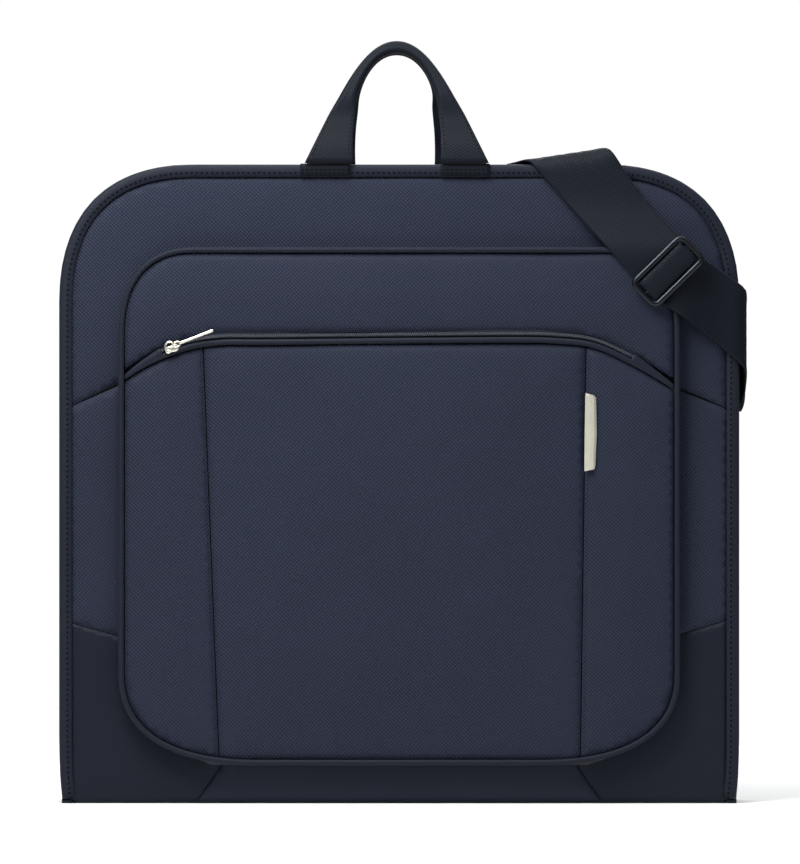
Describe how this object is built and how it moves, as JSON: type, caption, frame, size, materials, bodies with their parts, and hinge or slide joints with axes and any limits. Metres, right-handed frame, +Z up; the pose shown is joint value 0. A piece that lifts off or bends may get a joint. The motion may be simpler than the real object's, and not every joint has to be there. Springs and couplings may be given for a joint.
{
  "type": "garment bag",
  "caption": "Bi-fold soft garment bag folded shut, with an arched-zip front pocket, twin webbing carry handles, a hanging hook and an adjustable shoulder strap.",
  "frame": {"origin": "centre of the fold panel's underside, the flat face that the folded bag stands on", "axes": "+Z up from the fold to the handles, front half with its pocket towards -Y, +X to the right seen from the front"},
  "size_m": [0.5576, 0.0904, 0.6165],
  "materials": {
    "twill": "matte",
    "smooth_fabric": "satin",
    "trim": "satin",
    "webbing": "matte",
    "lining": "satin",
    "board": "matte",
    "zip": "satin",
    "silver": "satin",
    "gunmetal": "satin"
  },
  "bodies": {
    "fold_spine": {"fold_panel": "smooth_fabric", "fold_binding_left": "trim", "fold_binding_right": "trim", "fold_lining": "lining"},
    "rear_half": {"rear_stiffener": "board", "rear_gusset": "twill", "rear_binding": "trim", "rear_inner_binding": "trim", "rear_lining_wide": "lining", "rear_lining_narrow": "lining", "rear_main_zip": "zip", "rear_handle_foot_left": "webbing", "rear_handle_foot_right": "webbing", "rear_panel": "twill", "garment_strap": "webbing", "garment_strap_buckle": "zip", "hanger_plate": "gunmetal", "hanger_rivet": "gunmetal"},
    "front_half": {"front_stiffener": "board", "front_gusset": "twill", "front_binding": "trim", "front_inner_binding": "trim", "front_lining_wide": "lining", "front_lining_narrow": "lining", "front_main_zip": "zip", "front_upper_panel": "twill", "front_side_panel_left": "twill", "front_side_panel_right": "twill", "front_corner_panel_left": "smooth_fabric", "front_corner_panel_right": "smooth_fabric", "front_bottom_panel": "smooth_fabric", "pocket_back_lining": "lining", "pocket_gusset": "twill", "pocket_piping": "trim", "pocket_upper_panel": "twill", "pocket_left_panel": "twill", "pocket_centre_panel": "twill", "pocket_right_panel": "twill", "pocket_zip_welt": "trim", "pocket_zip_tape": "zip", "pocket_zip_coil": "zip", "label_plate": "silver", "front_handle_foot_left": "webbing", "front_handle_foot_right": "webbing", "strap_upper": "webbing", "strap_lower": "webbing", "strap_tucked_end": "webbing", "strap_ring_left": "gunmetal", "strap_ring_right": "gunmetal", "ring_tab_left": "webbing", "ring_tab_right": "webbing"},
    "front_handle": {"front_handle": "webbing"},
    "rear_handle": {"rear_handle": "webbing"},
    "pocket_slider": {"pocket_zip_slider": "silver"},
    "pocket_puller": {"pocket_zip_puller": "silver"},
    "main_slider": {"main_zip_slider": "gunmetal"},
    "main_puller": {"main_zip_puller": "gunmetal"},
    "hanger": {"hanger_hook": "silver"},
    "adjuster": {"strap_adjuster": "gunmetal", "adjuster_loop": "webbing"}
  },
  "joints": [
    {"name": "fold_rear", "type": "hinge", "parent": "fold_spine", "child": "rear_half", "pos_m": [0, 0.0283, 0.002], "axis": [-1, 0, 0], "range_deg": [0, 90]},
    {"name": "fold_front", "type": "hinge", "parent": "fold_spine", "child": "front_half", "pos_m": [0, -0.0283, 0.002], "axis": [1, 0, 0], "range_deg": [0, 90]},
    {"name": "front_handle_swing", "type": "hinge", "parent": "front_half", "child": "front_handle", "pos_m": [0, -0.0352, 0.5205], "axis": [1, 0, 0], "range_deg": [0, 160]},
    {"name": "rear_handle_swing", "type": "hinge", "parent": "rear_half", "child": "rear_handle", "pos_m": [0, 0.0352, 0.5205], "axis": [1, 0, 0], "range_deg": [-160, 0]},
    {"name": "pocket_zip_slide", "type": "slide", "parent": "front_half", "child": "pocket_slider", "axis": [1, 0, 0], "range_m": [0, 0.355]},
    {"name": "pocket_puller_swing", "type": "hinge", "parent": "pocket_slider", "child": "pocket_puller", "pos_m": [-0.1835, -0.05055, 0.3695], "axis": [0.3579, 0, -0.9338], "range_deg": [0, 150]},
    {"name": "main_zip_slide", "type": "slide", "parent": "rear_half", "child": "main_slider", "axis": [0, 0, -1], "range_m": [0, 0.4]},
    {"name": "main_puller_swing", "type": "hinge", "parent": "main_slider", "child": "main_puller", "pos_m": [0.195, 0.0016, 0.458], "axis": [0, 1, 0], "range_deg": [-60, 60]},
    {"name": "hanger_hook_turn", "type": "hinge", "parent": "rear_half", "child": "hanger", "pos_m": [0, 0.0023, 0.487], "axis": [0, 1, 0], "range_deg": [0, 180]},
    {"name": "strap_adjuster_slide", "type": "slide", "parent": "front_half", "child": "adjuster", "axis": [-0.654, 0, 0.7565], "range_m": [-0.008, 0.03]}
  ],
  "couplings": [
    {"joint": "fold_front", "follows": "fold_rear", "ratio": 1}
  ]
}
